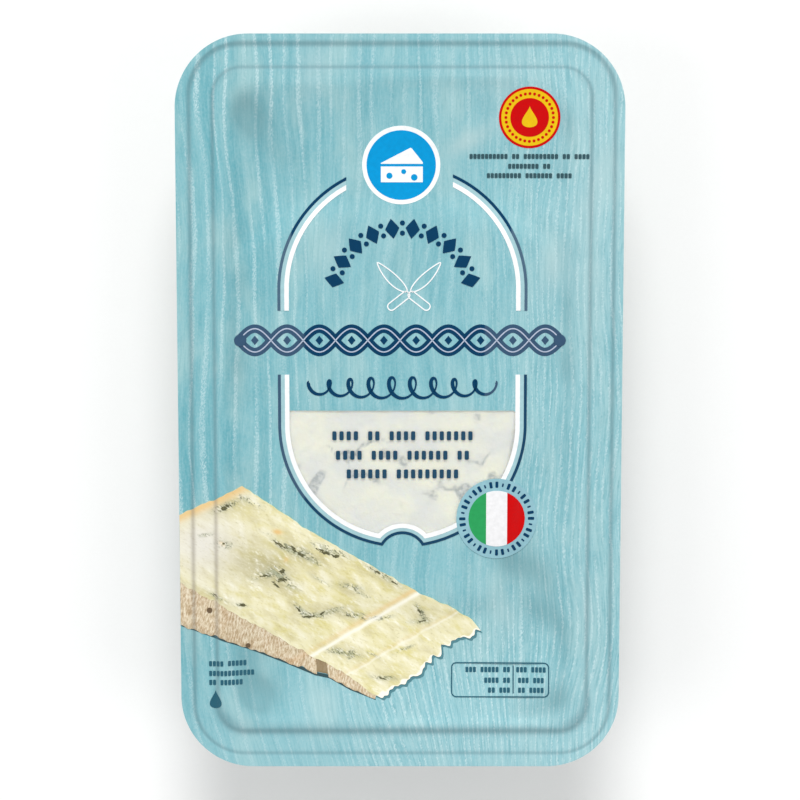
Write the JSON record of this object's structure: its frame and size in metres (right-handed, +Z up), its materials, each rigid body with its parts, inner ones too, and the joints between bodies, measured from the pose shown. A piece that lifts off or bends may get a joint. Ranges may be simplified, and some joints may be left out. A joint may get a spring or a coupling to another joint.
{
  "type": "sealed cheese tray pack",
  "caption": "Sealed retail pack: clear rectangular tray with rounded corners, a printed lidding film and a wedge-cut slab of blue cheese seen through its window.",
  "frame": {"origin": "middle of the tray's flat underside, on the surface that the pack lies on", "axes": "+Z up through the film, +Y along the pack towards its top end, +X to the right as the print is read"},
  "size_m": [0.11, 0.183, 0.0296],
  "materials": {
    "clear_tray": "clear thermoformed sheet, glossy",
    "cheese": "moist crumbly paste with blue-grey veins and a tan rind",
    "printed_film": "laminated film printed with turquoise wood grain, satin gloss"
  },
  "bodies": {
    "root": {"tray": "clear_tray", "cheese": "cheese", "film": "printed_film"}
  },
  "joints": []
}
